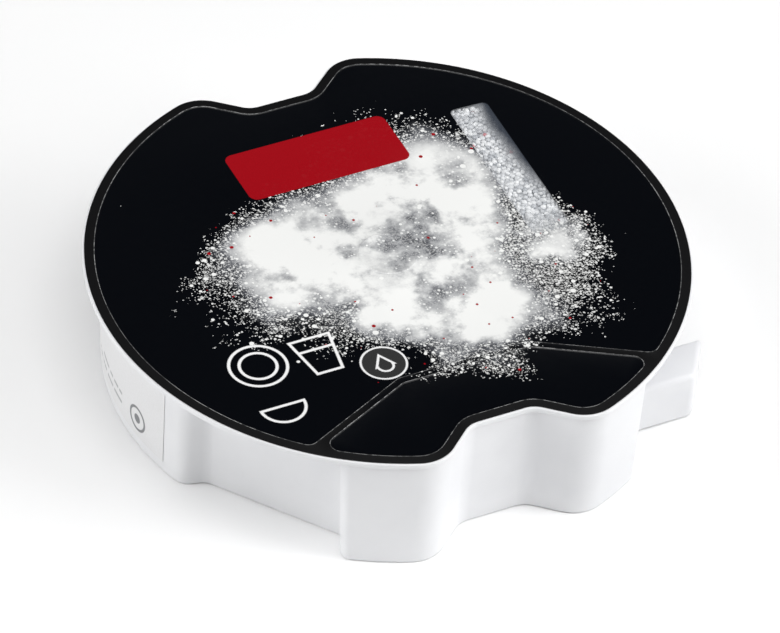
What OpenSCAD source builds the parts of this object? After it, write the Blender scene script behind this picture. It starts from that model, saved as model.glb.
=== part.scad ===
// Round detergent cartridge: a moulded tray with a flange, two grip notches, a front lobe and a
// low lug, closed by a heat-sealed film and filled with granulate.
// Millimetres. The axis of the disc is Z, the base is z = 0, the notches lie on Y.

/* [Disc] */
// Radius of the film edge
film_r = 80; // [70:1:100]
// Height from the base to the top of the film
disc_h = 36; // [26:1:50]

/* [Tray walls] */
// Thickness of the side walls
wall_t = 1.2; // [0.8:0.1:2]
// Thickness of the floor
floor_t = 1.2; // [0.8:0.1:2.5]
// Draft of the side walls, in degrees
draft = 0.5; // [0:0.25:2]
// Rounding of the outer edge at the base
foot_r = 0.8; // [0.6:0.1:2]
// Rounding between the walls and the floor inside
inner_foot_r = 1; // [0.4:0.1:2]
// Distance from the film edge in to the recessed wall
overhang = 4.8; // [3.5:0.1:8]
// Distance from the film edge in to the flush walls
flush_inset = 0.1; // [0.1:0.1:1]

/* [Flange] */
// Thickness of the flange
lip_t = 1.6; // [1:0.1:3]
// Width of the flange that shows outside the film
lip_edge = 0.5; // [0.3:0.1:1.2]
// Width of the raised land that the film is sealed to
land_w = 2.4; // [1.5:0.1:3.5]
// Height of the sealed lands over the rest of the flange
land_h = 0.15; // [0.05:0.05:0.25]
// Ledge of the flange inside the sealed land
ledge_w = 0.6; // [0.4:0.1:1.5]

/* [Grip notches] */
// Depth of a notch below the film circle
notch_depth = 13.1; // [8:0.1:18]
// Width of the flat stretch of a notch, between its flank corners
notch_floor_w = 18.3; // [12:0.1:26]
// Slope of the flanks against the floor, in degrees
notch_slope = 40; // [30:1:55]
// Rounding of the mouth
mouth_r = 10.5; // [7:0.5:12]
// Rounding between the flanks and the floor
notch_fillet = 6.7; // [3:0.1:9]

/* [Front lobe] */
// Angle from the front to the lobe's left corner
lobe_left = 34.6; // [31:0.1:36]
// Angle from the front to the lobe's right corner
lobe_right = 32.6; // [31:0.1:36]
// Lean of the lobe's side faces against Y, in degrees
lobe_lean = 29; // [5:0.5:32]
// Draft of the lobe's side faces, in degrees
lobe_draft = 3; // [2:0.25:4]
// Rounding of the lobe's outer corners
lobe_r = 3; // [2:0.1:4]
// Rounding where the lobe's side faces meet the recess
lobe_fillet = 2; // [1:0.1:3]

/* [Recesses beside the lobe] */
// Depth of the flat recess face below the film circle
recess_depth = 12.2; // [9:0.1:14]
// Angle between the recess face and the front
recess_angle = 52.5; // [50:0.5:55]
// Angle from the front to the far end of the recess
recess_end = 69.5; // [66:0.5:73]
// Lean of the step face at the far end, in degrees
step_lean = 14; // [8:1:20]
// Rounding of the outer corner of the step
step_r = 5; // [1.5:0.1:6]
// Rounding between the step and the recess face
step_fillet = 4.5; // [2:0.1:5]

/* [Lug] */
// Width of the lug
lug_w = 12.8; // [8:0.1:16]
// Height of the lug over the base
lug_h = 15.2; // [8:0.1:22]
// Reach of the lug past the film edge
lug_reach = 4.6; // [2:0.1:8]
// Distance of the lug's middle in front of the disc axis
lug_y = 47.4; // [44:0.1:50]
// Rounding of the lug's edges
lug_r = 1.5; // [0.6:0.1:3]

/* [Partition] */
// Thickness of the partition
rib_t = 1.5; // [1:0.1:3]
// Distance of its middle stretch from the disc axis
rib_y = 45.6; // [40:0.1:50]
// Half length of its middle stretch
rib_half = 18.4; // [14:0.1:24]
// Slope of its left stretch, in degrees
rib_slope_left = 24.6; // [20:0.1:30]
// Slope of its right stretch, in degrees
rib_slope_right = 30; // [24:0.1:33]

/* [Hub] */
// Radius of the hub post
hub_r = 7.5; // [5:0.1:12]
// Radius of the socket in the post, open at the base
socket_r = 5.8; // [3:0.1:9]
// Thickness of the post's closed top
hub_cap_t = 1.5; // [1:0.1:3]

/* [Film] */
// Thickness of the film
film_t = 0.3; // [0.2:0.05:0.5]

/* [Granulate] */
// Space between the granulate and the film
head_space = 1.2; // [0.3:0.1:8]

/* [Label] */
// Thickness of the label
label_t = 0.15; // [0.1:0.05:0.3]
// Height of the label
label_h = 29; // [15:1:30]
// Space between the label and the flange
label_drop = 1.6; // [0.5:0.1:3]
// Angle from the front to the label's near edge
label_start = 75.2; // [73:0.1:90]
// Angle that the label spans
label_span = 54; // [20:1:60]

/* [Fits] */
// Space between pieces that lie side by side
fit = 0.3; // [0.2:0.05:0.4]
// Space between the label and the wall
label_gap = 0.05; // [0.05:0.01:0.1]

/* [Hidden] */
white = [0.94, 0.94, 0.95];
film_black = [0.05, 0.05, 0.06];
bead_white = [0.82, 0.86, 0.92];
label_grey = [0.88, 0.88, 0.88];
FRONT = 270;
BACK = 90;
// Steps in one rounded corner, in the long arcs and in the short ones
corner_steps = 6;
long_steps = 26;
short_steps = 4;
foot_steps = 3;
label_steps = 18;
// How far a cut runs past a face
over = 1;
land_z = disc_h - film_t;
deck_z = land_z - land_h;
lip_z = land_z - lip_t;
fill_z = deck_z - head_space;
// Distance from the film edge in to the tray's mouth at the flush walls
mouth_inset = land_w + ledge_w;

// Edges and corners of an outline. An edge is [is round, size, angle or steps]: a straight one
// has its distance from the axis and the direction that it faces, a round one its radius about
// the axis and its steps.
function dir(a) = [cos(a), sin(a)];
function angle_of(p) = atan2(p[1], p[0]);
function wrap(a) = a - 360 * floor(a / 360);
function straight(dist, facing) = [false, dist, facing];
function round_edge(radius, steps) = [true, radius, steps];
function moved_in(edge, d) = [edge[0], edge[1] - d, edge[2]];

// Point where two straight edges cross
function crossing(a, b) =
    let (m = dir(a[2]), n = dir(b[2]), det = m[0] * n[1] - m[1] * n[0])
    [a[1] * n[1] - b[1] * m[1], m[0] * b[1] - n[0] * a[1]] / det;

// Point where a straight edge crosses a circle, on the side of the hint direction
function crossing_circle(line, radius, hint) =
    let (
        n = dir(line[2]),
        t = [-n[1], n[0]],
        side = t * dir(hint) < 0 ? -1 : 1
    )
    n * line[1] + t * side * sqrt(max(0, radius * radius - line[1] * line[1]));

function meet(a, b, hint) =
    a[0] ? crossing_circle(b, a[1], hint)
    : b[0] ? crossing_circle(a, b[1], hint)
    : crossing(a, b);

// Point where a corner's circle touches an edge
function touch(edge, centre, r) =
    edge[0] ? centre * edge[1] / (edge[1] - r) : centre + r * dir(edge[2]);

// Rounded corner between two edges. Its radius is positive where the outline turns outwards
// and negative where it turns inwards.
function corner_points(a, b, r, hint) =
    let (
        centre = meet(moved_in(a, r), moved_in(b, r), hint),
        start = angle_of(touch(a, centre, r) - centre),
        raw = wrap(angle_of(touch(b, centre, r) - centre) - start),
        turn = r > 0 ? raw : raw - 360
    )
    [for (i = [0:corner_steps]) centre + abs(r) * dir(start + turn * i / corner_steps)];

// Points inside a round edge, between the corners at its ends
function arc_points(edge, from, to) =
    let (start = angle_of(from), turn = wrap(angle_of(to) - start))
    [for (i = [1:edge[2] - 1]) edge[1] * dir(start + turn * i / edge[2])];

// Closed outline, anticlockwise. Corner i lies between edge i and the next one and is
// [radius, hint direction].
function outline(edges, corners) =
    let (
        n = len(edges),
        rounded = [for (i = [0:n - 1])
            corner_points(edges[i], edges[(i + 1) % n], corners[i][0], corners[i][1])]
    )
    [for (i = [0:n - 1]) each concat(
        rounded[i],
        edges[(i + 1) % n][0]
            ? arc_points(edges[(i + 1) % n], rounded[i][corner_steps], rounded[(i + 1) % n][0])
            : []
    )];

// A corner's radius on an outline moved in by d
function radius_in(r, d) = r > 0 ? max(r - d, 0.4) : r - d;

// The three straight edges of a notch that opens towards a direction, moved in by d
function notch_edges(towards, d) =
    let (
        floor_dist = film_r - notch_depth,
        half = notch_floor_w / 2,
        flank = floor_dist * cos(notch_slope) - half * sin(notch_slope)
    )
    [
        straight(flank - d, towards + notch_slope),
        straight(floor_dist - d, towards),
        straight(flank - d, towards - notch_slope)
    ];

function notch_corners(towards, d) = [
    [radius_in(mouth_r, d), towards - 16],
    [radius_in(-notch_fillet, d), towards],
    [radius_in(-notch_fillet, d), towards],
    [radius_in(mouth_r, d), towards + 16]
];

// Outline of the film, moved in by d
function film_outline(d) = outline(
    concat(
        [round_edge(film_r - d, long_steps)], notch_edges(BACK, d),
        [round_edge(film_r - d, long_steps)], notch_edges(FRONT, d)
    ),
    concat(notch_corners(BACK, d), notch_corners(FRONT, d))
);

// Outline of the side wall just under the flange. The recessed stretches are moved in by d and
// the flush ones, which are the lobe and both notches, by f. The lobe's side faces go in by s more.
lobe_side_facing = 180 - lobe_lean;
function lobe_side(angle) = (film_r - flush_inset) * cos(FRONT - angle - lobe_side_facing);
step_facing = FRONT - step_lean;
step_face = (film_r - overhang) * cos(FRONT - recess_end - step_facing);
recess_facing = FRONT - recess_angle;
recess_face = film_r - recess_depth;

function wall_outline(d, f, s = 0) =
    let (
        main = round_edge(film_r - overhang - d, long_steps),
        lobe = round_edge(film_r - flush_inset - f, short_steps),
        g = flush_inset + f,
        mirror_x = 180
    )
    outline(
        concat(
            [main], notch_edges(BACK, g),
            [
                main,
                straight(step_face - d, step_facing),
                straight(recess_face - d, recess_facing),
                straight(lobe_side(lobe_left) - f - s, lobe_side_facing),
                lobe
            ],
            notch_edges(FRONT, g),
            [
                lobe,
                straight(lobe_side(lobe_right) - f - s, mirror_x - lobe_side_facing),
                straight(recess_face - d, mirror_x - recess_facing),
                straight(step_face - d, mirror_x - step_facing)
            ]
        ),
        concat(
            notch_corners(BACK, g),
            [
                [radius_in(step_r, d), FRONT - recess_end],
                [radius_in(-step_fillet, d), FRONT - recess_angle],
                [radius_in(-lobe_fillet, f), FRONT - lobe_left],
                [radius_in(lobe_r, f), FRONT - lobe_left]
            ],
            notch_corners(FRONT, g),
            [
                [radius_in(lobe_r, f), FRONT + lobe_right],
                [radius_in(-lobe_fillet, f), FRONT + lobe_right],
                [radius_in(-step_fillet, d), FRONT + recess_angle],
                [radius_in(step_r, d), FRONT + recess_end]
            ]
        )
    );

// How far the draft has moved a wall in at height z
function drafted(z) = max(0, lip_z - z) * tan(draft);

// How much further the lobe's side faces have moved in at height z
function lobe_drafted(z) = max(0, lip_z - z) * max(0, tan(lobe_draft) - tan(draft));

// Insets and heights around a rounded lower edge, from the flat underside to the wall
function foot(r) = [for (i = [0:foot_steps])
    let (a = 90 * i / foot_steps) [r * (1 - sin(a)), r * (1 - cos(a))]];

// Outline of the lug in plan, moved in by d: straight sides, a round outer end, and an inner end
// that lies inside the tray's wall
lug_inner = recess_face * cos(recess_angle);
function lug_outline(d) = outline(
    [
        straight(lug_w / 2 - lug_y - d, BACK),
        straight(-lug_inner - d, 180),
        straight(lug_y + lug_w / 2 - d, FRONT),
        round_edge(film_r + lug_reach - d, short_steps)
    ],
    [
        [0.4, 180],
        [0.4, 180],
        [radius_in(lug_r, d), atan2(-lug_y, film_r)],
        [radius_in(lug_r, d), atan2(-lug_y, film_r)]
    ]
);

// Centre line of the partition, with its ends past the tray's walls
rib_run = film_r;
rib_path = [
    [-rib_half - rib_run * cos(rib_slope_left), -rib_y - rib_run * sin(rib_slope_left)],
    [-rib_half, -rib_y],
    [rib_half, -rib_y],
    [rib_half + rib_run * cos(rib_slope_right), -rib_y - rib_run * sin(rib_slope_right)]
];

// Points beside a path, at distance d to its left
function beside(path, d) = [for (i = [0:len(path) - 1])
    let (
        a = i == 0 ? path[i + 1] - path[i] : path[i] - path[i - 1],
        b = i == len(path) - 1 ? a : path[i + 1] - path[i],
        u = a / norm(a) + b / norm(b),
        m = [-u[1], u[0]] / norm(u),
        n = [-a[1], a[0]] / norm(a)
    )
    path[i] + m * d / (m * n)];

function reversed(list) = [for (i = [len(list) - 1:-1:0]) list[i]];

// Solid through a row of sections with equal counts of points. Each section can be seen whole
// from its centre, where the end faces meet.
module skin(sections, first_centre, last_centre) {
    n = len(sections[0]);
    last = len(sections) - 1;
    first_point = n * len(sections);
    caps = [for (i = [0:n - 1])
        let (j = (i + 1) % n)
        each [[first_point, i, j], [first_point + 1, last * n + j, last * n + i]]];
    sides = [for (k = [0:last - 1], i = [0:n - 1])
        let (j = (i + 1) % n, low = k * n, high = low + n)
        each [[low + i, high + i, high + j], [low + i, high + j, low + j]]];
    points = [for (section = sections) each section];
    polyhedron(concat(points, [first_centre, last_centre]), concat(caps, sides));
}

// Solid through a stack of flat outlines. Each level is [outline, height].
module loft(levels, centre = [0, 0]) {
    top = len(levels) - 1;
    skin(
        [for (level = levels) [for (p = level[0]) [p[0], p[1], level[1]]]],
        [centre[0], centre[1], levels[0][1]],
        [centre[0], centre[1], levels[top][1]]
    );
}

// Plate between two heights
module plate(z0, z1) {
    translate([0, 0, z0])
        linear_extrude(height = z1 - z0)
            children();
}

// Partition seen from above, wider by d on each side
module rib_area(d = 0) {
    polygon(concat(beside(rib_path, -rib_t / 2 - d), reversed(beside(rib_path, rib_t / 2 + d))));
}

// Everything in front of the partition's rear face, moved back by d
module front_area(d = 0) {
    far = 2 * film_r;
    polygon(concat(beside(rib_path, d), [[far, -far], [-far, -far]]));
}

// Inner area where the film is not sealed, moved in by d from the lands
module unsealed_area(d = 0) {
    difference() {
        polygon(film_outline(land_w + d));
        rib_area(d);
        circle(r = hub_r + d, $fn = 96);
    }
}

// Outer form of the tray's walls
module wall_form() {
    loft(concat(
        [for (step = foot(foot_r))
            let (z = step[1], d = step[0] + drafted(z)) [wall_outline(d, d, lobe_drafted(z)), z]],
        [[wall_outline(0, 0), lip_z + lip_t / 2]]
    ));
}

// Space inside the walls, moved in by d. Its mouth narrows at the flush walls, which keeps the
// sealed land whole above them.
module inside_form(d, top_z) {
    t = wall_t + d;
    mouth = mouth_inset - flush_inset + d;
    under_z = lip_z - (mouth - t);
    under_d = drafted(under_z);
    loft(concat(
        [for (step = foot(inner_foot_r))
            let (z = floor_t + step[1], e = t + step[0] + drafted(z))
                [wall_outline(e, e, lobe_drafted(z)), z]],
        [
            [wall_outline(t + under_d, t + under_d, lobe_drafted(under_z)), under_z],
            [wall_outline(t, mouth), lip_z],
            [wall_outline(t, mouth), top_z]
        ]
    ));
}

module flange_form() {
    plate(lip_z, land_z) polygon(film_outline(-lip_edge));
}

// Lug with rounded edges, thinner by d all round
module lug_form(d = 0) {
    loft(
        concat(
            [for (step = foot(lug_r)) [lug_outline(d + step[0]), d + step[1]]],
            [for (step = reversed(foot(lug_r))) [lug_outline(d + step[0]), lug_h - d - step[1]]]
        ),
        [recess_face, -lug_y]
    );
}

module tray() {
    color(white)
        difference() {
            union() {
                wall_form();
                flange_form();
                lug_form();
            }
            difference() {
                inside_form(0, disc_h + over);
                plate(0, land_z) rib_area();
                cylinder(r = hub_r, h = land_z, $fn = 96);
            }
            plate(deck_z, disc_h) unsealed_area();
            lug_form(wall_t);
            translate([0, 0, -over])
                cylinder(r = socket_r, h = land_z - hub_cap_t + over, $fn = 96);
        }
}

// Film with raised bands over the sealed lands
module lid_film() {
    color(film_black)
        difference() {
            plate(deck_z, disc_h) polygon(film_outline(0));
            plate(deck_z - over, land_z)
                difference() {
                    polygon(film_outline(-over));
                    unsealed_area(fit);
                }
            plate(deck_z + film_t, disc_h + over) unsealed_area(fit + film_t);
        }
}

module granulate_main() {
    color(bead_white)
        difference() {
            inside_form(fit, fill_z);
            plate(0, disc_h) front_area(rib_t / 2 + fit);
            cylinder(r = hub_r + fit, h = disc_h, $fn = 96);
        }
}

module granulate_front() {
    color(bead_white)
        intersection() {
            inside_form(fit, fill_z);
            plate(0, disc_h) front_area(-rib_t / 2 - fit);
        }
}

// Label around the recessed wall, leaning with its draft. Its flats lie outside the wall's circle.
module side_label() {
    top_z = lip_z - label_drop;
    low_z = top_z - label_h;
    half_step = label_span / label_steps / 2;
    wall_r = film_r - overhang + label_gap;
    top_r = (wall_r - drafted(top_z)) / cos(half_step);
    low_r = (wall_r - drafted(low_z)) / cos(half_step);
    corners = [
        [low_r, low_z], [top_r, top_z],
        [top_r + label_t, top_z], [low_r + label_t, low_z]
    ];
    sections = [for (i = [0:label_steps])
        let (u = dir(FRONT - label_start - label_span + 2 * half_step * i))
        [for (c = corners) [c[0] * u[0], c[0] * u[1], c[1]]]];
    color(label_grey)
        skin(
            sections,
            (sections[0][0] + sections[0][2]) / 2,
            (sections[label_steps][0] + sections[label_steps][2]) / 2
        );
}

tray();
lid_film();
granulate_main();
granulate_front();
side_label();
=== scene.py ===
"""Looks of a flat round detergent cartridge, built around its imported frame.

The plan outlines are worked out in millimetres on the disc's axis and built in metres. The tray,
the film and the label are modelled anew and stand for their nodes. The granulate keeps its nodes
and gets loose beads under the film's clear window.
"""

import logging
import math
import random
from collections.abc import Callable
from dataclasses import dataclass, field, replace
from enum import Enum

import bmesh
import bpy
from mathutils import Matrix, Vector


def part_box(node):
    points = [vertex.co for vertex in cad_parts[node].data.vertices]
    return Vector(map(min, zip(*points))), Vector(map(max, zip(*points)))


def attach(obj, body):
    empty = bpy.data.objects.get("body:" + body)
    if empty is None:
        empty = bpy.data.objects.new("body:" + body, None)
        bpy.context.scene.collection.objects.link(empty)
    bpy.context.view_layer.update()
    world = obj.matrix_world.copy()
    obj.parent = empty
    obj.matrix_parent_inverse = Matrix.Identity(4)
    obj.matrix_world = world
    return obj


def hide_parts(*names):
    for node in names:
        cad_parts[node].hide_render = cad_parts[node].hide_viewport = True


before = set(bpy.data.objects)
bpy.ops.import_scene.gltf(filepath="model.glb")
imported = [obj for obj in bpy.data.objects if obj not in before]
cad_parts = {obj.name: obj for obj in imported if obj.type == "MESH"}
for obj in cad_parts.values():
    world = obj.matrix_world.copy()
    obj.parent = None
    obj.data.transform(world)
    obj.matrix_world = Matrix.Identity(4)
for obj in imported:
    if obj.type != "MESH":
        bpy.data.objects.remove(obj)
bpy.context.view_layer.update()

MM = 0.001
FRONT = 270.0
BACK = 90.0
BODY = "root"
Plan = list[Vector]
Colour = tuple[float, float, float, float]
Pair = tuple[float, float]
Triple = tuple[float, float, float]
log = logging.getLogger("cartridge")


class Slot(Enum):
    """The record's material slots."""

    PLASTIC = "white_plastic"
    FILM = "printed_film"
    GRANULATE = "granulate"
    LABEL = "label_paper"


class Cut(Enum):
    """What a Boolean modifier does with its second shape."""

    JOIN = "UNION"
    REMOVE = "DIFFERENCE"


def heading(angle: float) -> Vector:
    """Gives the plan direction of an angle in degrees."""
    return Vector((math.cos(math.radians(angle)), math.sin(math.radians(angle))))


def angle_of(point: Vector) -> float:
    """Gives the angle of a plan point in degrees."""
    return math.degrees(math.atan2(point.y, point.x))


@dataclass(frozen=True)
class Edge:
    """One side of a plan outline: a straight line, or an arc about the disc's axis."""

    size: float
    facing: float | None = None
    steps: int = 0

    def moved_in(self, inset: float) -> "Edge":
        """Moves the side towards the axis."""
        return replace(self, size=self.size - inset)

    def touch(self, centre: Vector, radius: float) -> Vector:
        """Finds where a corner's circle meets the side.

        Args:
            centre: Centre of the corner's circle.
            radius: Its radius, negative in a corner that turns inwards.

        Returns:
            The point of contact.
        """
        if self.facing is None:
            return centre * (self.size / (self.size - radius))
        return centre + heading(self.facing) * radius

    def meet(self, other: "Edge", hint: float) -> Vector:
        """Finds where two sides cross.

        Args:
            other: The other side. At most one of the two is an arc.
            hint: Direction of the crossing that is wanted, seen from the axis.

        Returns:
            The crossing.
        """
        if self.facing is None:
            return other.meet(self, hint)
        normal = heading(self.facing)
        if other.facing is None:
            along = Vector((-normal.y, normal.x))
            side = -1 if along.dot(heading(hint)) < 0 else 1
            reach = math.sqrt(max(0.0, other.size**2 - self.size**2))
            return normal * self.size + along * (side * reach)
        second = heading(other.facing)
        det = normal.x * second.y - normal.y * second.x
        return Vector((
            (self.size * second.y - other.size * normal.y) / det,
            (normal.x * other.size - second.x * self.size) / det,
        ))


@dataclass(frozen=True)
class Corner:
    """A rounded corner. Its radius is negative where the outline turns inwards."""

    radius: float
    hint: float

    def points(self, before: Edge, after: Edge, steps: int) -> Plan:
        """Draws the corner between two sides.

        Args:
            before: The side that ends here.
            after: The side that starts here.
            steps: Pieces in the arc.

        Returns:
            The arc's points, one more than its pieces.
        """
        r = self.radius
        centre = before.moved_in(r).meet(after.moved_in(r), self.hint)
        start = angle_of(before.touch(centre, r) - centre)
        turn = (angle_of(after.touch(centre, r) - centre) - start) % 360
        if r < 0:
            turn -= 360
        return [centre + heading(start + turn * i / steps) * abs(r) for i in range(steps + 1)]


def eased(radius: float, inset: float, least: float = 0.3) -> float:
    """Gives a corner's radius on an outline that is moved in."""
    return max(radius - inset, least) if radius > 0 else radius - inset


def outline(edges: list[Edge], corners: list[Corner], steps: int = 12) -> Plan:
    """Draws a closed outline, anticlockwise.

    Args:
        edges: The sides in order.
        corners: The corner after each side.
        steps: Pieces in each corner.

    Returns:
        The outline's points.
    """
    count = len(edges)
    arcs = [corners[i].points(edges[i], edges[(i + 1) % count], steps) for i in range(count)]
    plan: Plan = []
    for i, arc in enumerate(arcs):
        plan += arc
        side = edges[(i + 1) % count]
        if side.facing is None:
            start, end = angle_of(arc[-1]), angle_of(arcs[(i + 1) % count][0])
            turn = (end - start) % 360
            plan += [heading(start + turn * k / side.steps) * side.size
                     for k in range(1, side.steps)]
    return plan


@dataclass
class DiscPlan:
    """Plan outlines that the tray, the film and the label share, in millimetres.

    A turn is the angle at which a corner is looked for, from the middle of its notch or lobe.
    """

    film_r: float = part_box("lid_film")[1].x / MM
    overhang: float = 4.8
    flush_inset: float = 0.1
    land_w: float = 2.4
    notch_depth: float = 13.1
    notch_floor_w: float = 18.3
    notch_slope: float = 40.0
    mouth_r: float = 10.5
    mouth_turn: float = 16.0
    notch_fillet: float = 6.7
    lobe_left: float = 34.6
    lobe_right: float = 32.6
    lobe_lean: float = 29.0
    lobe_r: float = 3.0
    lobe_fillet: float = 2.0
    recess_depth: float = 12.2
    recess_angle: float = 52.5
    recess_end: float = 69.5
    step_lean: float = 14.0
    step_r: float = 5.0
    step_fillet: float = 4.5
    rib_t: float = 1.5
    rib_y: float = 45.6
    rib_half: float = 18.4
    rib_slope_left: float = 24.6
    rib_slope_right: float = 30.0
    panel_r: float = 3.2
    rib_bend_r: float = 3.0
    bend_turn: float = 22.0
    main_end_turn: float = 38.0
    front_end_turn: float = 35.0
    long_steps: int = 110
    short_steps: int = 16

    def notch(self, towards: float, d: float) -> tuple[list[Edge], list[Corner]]:
        """Gives the sides and corners of a grip notch.

        Args:
            towards: Direction that the notch opens in.
            d: How far the outline is moved in from the film's edge.

        Returns:
            Three straight sides and the four corners around them.
        """
        floor = self.film_r - self.notch_depth
        slope = math.radians(self.notch_slope)
        flank = floor * math.cos(slope) - self.notch_floor_w / 2 * math.sin(slope)
        sides = [Edge(flank - d, towards + self.notch_slope), Edge(floor - d, towards),
                 Edge(flank - d, towards - self.notch_slope)]
        mouth, fillet = eased(self.mouth_r, d), eased(-self.notch_fillet, d)
        corners = [Corner(mouth, towards - self.mouth_turn), Corner(fillet, towards),
                   Corner(fillet, towards), Corner(mouth, towards + self.mouth_turn)]
        return sides, corners

    def film(self, d: float) -> Plan:
        """Draws the film's outline.

        Args:
            d: How far it is moved in.

        Returns:
            The outline's points.
        """
        rim = Edge(self.film_r - d, steps=self.long_steps)
        back, back_corners = self.notch(BACK, d)
        front, front_corners = self.notch(FRONT, d)
        return outline([rim, *back, rim, *front], back_corners + front_corners)

    def wall(self, d: float, f: float, s: float = 0.0) -> Plan:
        """Draws the side wall just under the flange.

        Args:
            d: How far the recessed stretches are moved in.
            f: How far the lobe and the notches are moved in.
            s: How much further the lobe's side faces are moved in.

        Returns:
            The outline's points.
        """
        main = Edge(self.film_r - self.overhang - d, steps=self.long_steps)
        lobe = Edge(self.film_r - self.flush_inset - f, steps=self.short_steps)
        side_facing = 180 - self.lobe_lean
        step_facing = FRONT - self.step_lean
        recess_facing = FRONT - self.recess_angle
        sides = [(self.film_r - self.flush_inset)
                 * math.cos(math.radians(FRONT - half - side_facing)) - f - s
                 for half in (self.lobe_left, self.lobe_right)]
        step = ((self.film_r - self.overhang)
                * math.cos(math.radians(FRONT - self.recess_end - step_facing)) - d)
        recess = self.film_r - self.recess_depth - d
        back, back_corners = self.notch(BACK, self.flush_inset + f)
        front, front_corners = self.notch(FRONT, self.flush_inset + f)
        left = [Edge(step, step_facing), Edge(recess, recess_facing),
                Edge(sides[0], side_facing)]
        right = [Edge(sides[1], 180 - side_facing), Edge(recess, 180 - recess_facing),
                 Edge(step, 180 - step_facing)]
        radii = [eased(self.step_r, d), eased(-self.step_fillet, d),
                 eased(-self.lobe_fillet, f), eased(self.lobe_r, f)]
        turns = [self.recess_end, self.recess_angle, self.lobe_left, self.lobe_left]
        left_corners = [Corner(r, FRONT - a) for r, a in zip(radii, turns)]
        turns[2:] = [self.lobe_right, self.lobe_right]
        right_corners = [Corner(r, FRONT + a) for r, a in zip(reversed(radii), reversed(turns))]
        return outline(
            [main, *back, main, *left, lobe, *front, lobe, *right],
            back_corners + left_corners + front_corners + right_corners,
        )

    def rib_sides(self, d: float) -> list[Edge]:
        """Gives the partition's sides as seen from the main chamber.

        Args:
            d: How far they are moved back.

        Returns:
            The three sides in order.
        """
        facings = (FRONT + self.rib_slope_left, FRONT, FRONT - self.rib_slope_right)
        bends = (Vector((-self.rib_half, -self.rib_y)), Vector((0, -self.rib_y)),
                 Vector((self.rib_half, -self.rib_y)))
        return [Edge(heading(facing).dot(bend) - d, facing)
                for facing, bend in zip(facings, bends)]

    def main_panel(self, d: float) -> Plan:
        """Draws the unsealed film over the main chamber.

        Args:
            d: How far it is moved in from its land.

        Returns:
            The outline's points.
        """
        rim = Edge(self.film_r - self.land_w - d, steps=self.long_steps)
        back, back_corners = self.notch(BACK, self.land_w + d)
        ribs = self.rib_sides(self.rib_t / 2 + d)
        corner, bend = eased(self.panel_r, d), eased(-self.rib_bend_r, d)
        return outline(
            [rim, *back, rim, *ribs],
            back_corners + [Corner(corner, FRONT - self.main_end_turn),
                            Corner(bend, FRONT - self.bend_turn),
                            Corner(bend, FRONT + self.bend_turn),
                            Corner(corner, FRONT + self.main_end_turn)],
        )

    def front_panel(self, d: float) -> Plan:
        """Draws the unsealed film over the front chamber.

        Args:
            d: How far it is moved in from its land.

        Returns:
            The outline's points.
        """
        rim = Edge(self.film_r - self.land_w - d, steps=self.short_steps)
        front, front_corners = self.notch(FRONT, self.land_w + d)
        ribs = [Edge(-side.size - d * 2 - self.rib_t, side.facing + 180)
                for side in self.rib_sides(self.rib_t / 2 + d)]
        corner, bend = eased(self.panel_r, d), eased(self.rib_bend_r, d)
        return outline(
            [rim, *front, rim, *reversed(ribs)],
            front_corners + [Corner(corner, FRONT + self.front_end_turn),
                             Corner(bend, FRONT + self.bend_turn),
                             Corner(bend, FRONT - self.bend_turn),
                             Corner(corner, FRONT - self.front_end_turn)],
        )

    def rib_band(self, reach: float) -> Plan:
        """Draws the partition from above, with both ends past the tray's walls.

        Args:
            reach: Length of each sloping stretch.

        Returns:
            The band's outline.
        """
        rear, fore = self.rib_sides(self.rib_t / 2), self.rib_sides(-self.rib_t / 2)
        plan: Plan = []
        for sides, order in ((fore, 1), (rear, -1)):
            bends = [sides[0].meet(sides[1], FRONT), sides[1].meet(sides[2], FRONT)]
            ends = [bends[0] - heading(self.rib_slope_left) * reach,
                    bends[1] + heading(-self.rib_slope_right) * reach]
            plan += [ends[0], *bends, ends[1]][::order]
        return plan


def flat_ring(mesh: bmesh.types.BMesh, plan: Plan, z: float) -> list[bmesh.types.BMEdge]:
    """Adds a closed row of edges.

    Args:
        mesh: The mesh that gets them.
        plan: The outline in millimetres.
        z: Its height in millimetres.

    Returns:
        The edges in order.
    """
    verts = [mesh.verts.new((p.x * MM, p.y * MM, z * MM)) for p in plan]
    return [mesh.edges.new((verts[i - 1], verts[i])) for i in range(len(verts))]


def bridged(mesh: bmesh.types.BMesh, rings: list[list[bmesh.types.BMEdge]]) -> None:
    """Joins each ring of edges to the next with a strip of faces."""
    for low, high in zip(rings, rings[1:]):
        bmesh.ops.bridge_loops(mesh, edges=low + high)


def stacked(levels: list[tuple[Plan, float]]) -> bmesh.types.BMesh:
    """Builds a closed solid through a stack of outlines.

    Args:
        levels: The outlines with their heights in millimetres, from low to high.

    Returns:
        The solid, with its faces outwards.
    """
    mesh = bmesh.new()
    rings = [flat_ring(mesh, plan, z) for plan, z in levels]
    bridged(mesh, rings)
    for ring in (rings[0], rings[-1]):
        bmesh.ops.contextual_create(mesh, geom=ring)
    bmesh.ops.recalc_face_normals(mesh, faces=mesh.faces)
    return mesh


def to_object(mesh: bmesh.types.BMesh, name: str, sharp: float = 35.0) -> bpy.types.Object:
    """Turns a bmesh into an object that is smooth up to an angle.

    Args:
        mesh: The finished bmesh, which is freed.
        name: Name of the object.
        sharp: Angle in degrees above which an edge stays sharp.

    Returns:
        The object, linked to the scene.
    """
    data = bpy.data.meshes.new(name)
    mesh.to_mesh(data)
    mesh.free()
    thing = bpy.data.objects.new(name, data)
    bpy.context.scene.collection.objects.link(thing)
    shade(thing, sharp)
    return thing


def shade(thing: bpy.types.Object, sharp: float) -> None:
    """Shades an object smooth up to an angle in degrees."""
    thing.data.shade_smooth()
    thing.data.set_sharp_from_angle(angle=math.radians(sharp))


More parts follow.
